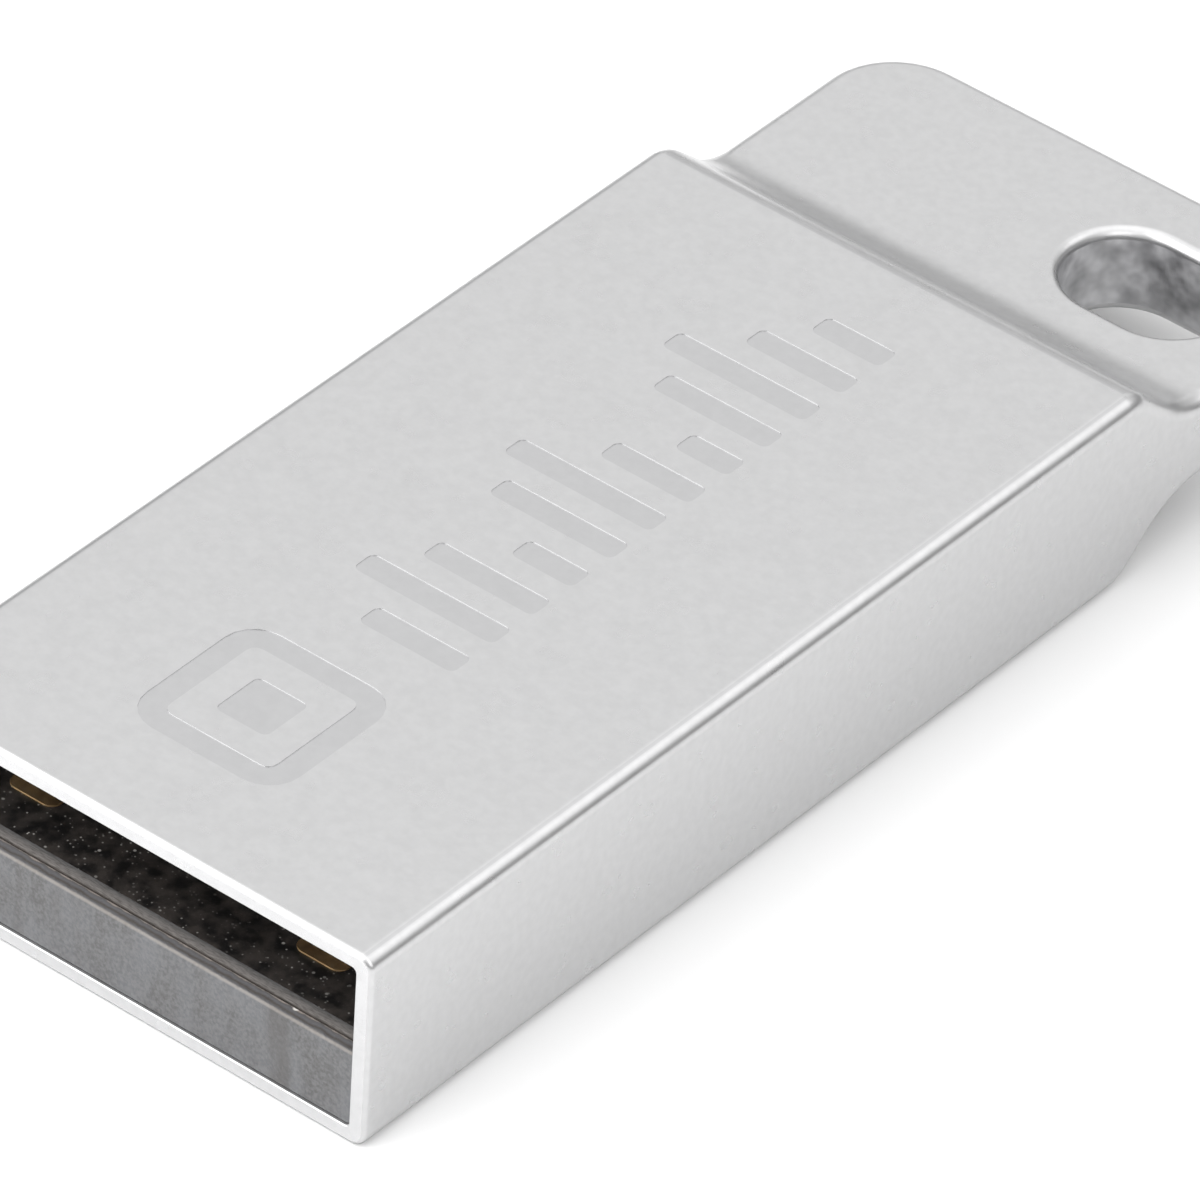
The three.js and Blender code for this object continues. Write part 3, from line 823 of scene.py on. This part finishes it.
block = add_block("retaining_block_moulded", block_low, block_high)
edit(block)
cut_across(block_low.y + block_chamfer)
pick("verts", lambda v: is_near(v.co.y, block_low.y) and is_near(v.co.z, block_high.z))
bpy.ops.transform.translate(value=(0, 0, -block_chamfer))
bpy.ops.mesh.select_all(action="SELECT")
bpy.ops.mesh.dissolve_limited(angle_limit=flat_angle)
pick("edges", lambda e: e.calc_face_angle(0) > radians(30))
round_edges(block_edge, 3)
stop_editing()

black_plastic, tree, shader = start_material("black_moulded_plastic")
place = object_place(tree)
sparks = spread(tree, add_noise(tree, place, 0.05 * MM, 3.0), 0.35, 0.65, 0, 1)
tone = shade_between(tree, sparks, (0.014, 0.014, 0.015), (0.03, 0.03, 0.032))
tree.links.new(tone, shader.inputs["Base Color"])
tree.links.new(spread(tree, sparks, 0, 1, 0.45, 0.65), shader.inputs["Roughness"])
add_bump(tree, shader, sparks, 0.005 * MM)
block.data.materials.append(black_plastic)
smooth(block)
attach(block, "root")
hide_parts("retaining_block")


# ---- Floor, light and camera ----
# A plain pale table under soft light: a sky that is bright overhead and falls off to a dim horizon,
# a broad lamp in front on the left, a smaller one behind on the right, a faint low one behind on the
# left, and a close fill on the right.

table_half = 0.8
table_thickness = 0.002
floor = add_block("floor", (-table_half, -table_half, -table_thickness), (table_half, table_half, 0))
floor_paint, _, floor_shader = start_material("pale_table")
floor_shader.inputs["Base Color"].default_value = (0.8, 0.8, 0.8, 1)
floor_shader.inputs["Roughness"].default_value = 0.9
floor.data.materials.append(floor_paint)

# How bright the sky is at a height from level, 0, to overhead, 1, as a share of the brightest.
sky_brightest = 1.9
sky_levels = [(0.0, 0.026), (0.12, 0.158), (0.35, 0.42), (0.62, 0.568), (0.8, 0.737), (1.0, 1.0)]
world = bpy.data.worlds.new("studio")
bpy.context.scene.world = world
world.use_nodes = True
sky_tree = world.node_tree
sky = sky_tree.nodes["Background"]
direction = sky_tree.nodes.new("ShaderNodeTexCoord").outputs["Generated"]
up = coordinate(sky_tree, direction, "Z")
sky_bands = [(height, (level, level, level)) for height, level in sky_levels]
sky_tree.links.new(shade_through(sky_tree, up, sky_bands), sky.inputs["Color"])
sky.inputs["Strength"].default_value = sky_brightest
bpy.context.scene.view_settings.view_transform = "Standard"


def add_lamp(name, azimuth, elevation, distance, size, radiance):
    """A soft square lamp that faces the drive. Azimuth 0 is in front, and 90 to the right."""
    out = Vector((
        sin(radians(azimuth)) * cos(radians(elevation)),
        -cos(radians(azimuth)) * cos(radians(elevation)),
        sin(radians(elevation)),
    ))
    lamp = bpy.data.lights.new(name, "AREA")
    lamp.shape = "SQUARE"
    lamp.size = size
    lamp.energy = radiance * pi * size ** 2
    holder = bpy.data.objects.new(name, lamp)
    bpy.context.scene.collection.objects.link(holder)
    holder.location = out * distance
    holder.rotation_euler = out.to_track_quat("Z", "Y").to_euler()
    holder.visible_camera = False


add_lamp("front_left_lamp", -37, 28, 0.09, 0.12, 2.4)
add_lamp("back_right_lamp", 140, 40, 0.25, 0.13, 0.65)
add_lamp("back_left_lamp", -150, 9, 0.3, 0.24, 0.3)
add_lamp("right_fill_lamp", 65, 35, 0.06, 0.04, 1.15)

aim = Vector((0.61, -1.87, 2.25)) * MM
camera_azimuth = radians(37.17)
camera_elevation = radians(38.30)
camera_distance = 249.0 * MM
camera_roll = radians(3.52)
camera_data = bpy.data.cameras.new("camera")
camera_data.sensor_width = 36
camera_data.lens = 393.8
camera_data.clip_start = 0.01
camera_data.clip_end = 10
camera = bpy.data.objects.new("camera", camera_data)
bpy.context.scene.collection.objects.link(camera)
away = Vector((
    sin(camera_azimuth) * cos(camera_elevation),
    -cos(camera_azimuth) * cos(camera_elevation),
    sin(camera_elevation),
))
turn = away.to_track_quat("Z", "Y").to_matrix().to_4x4() @ Matrix.Rotation(camera_roll, 4, "Z")
camera.matrix_world = Matrix.Translation(aim + away * camera_distance) @ turn
bpy.context.scene.camera = camera
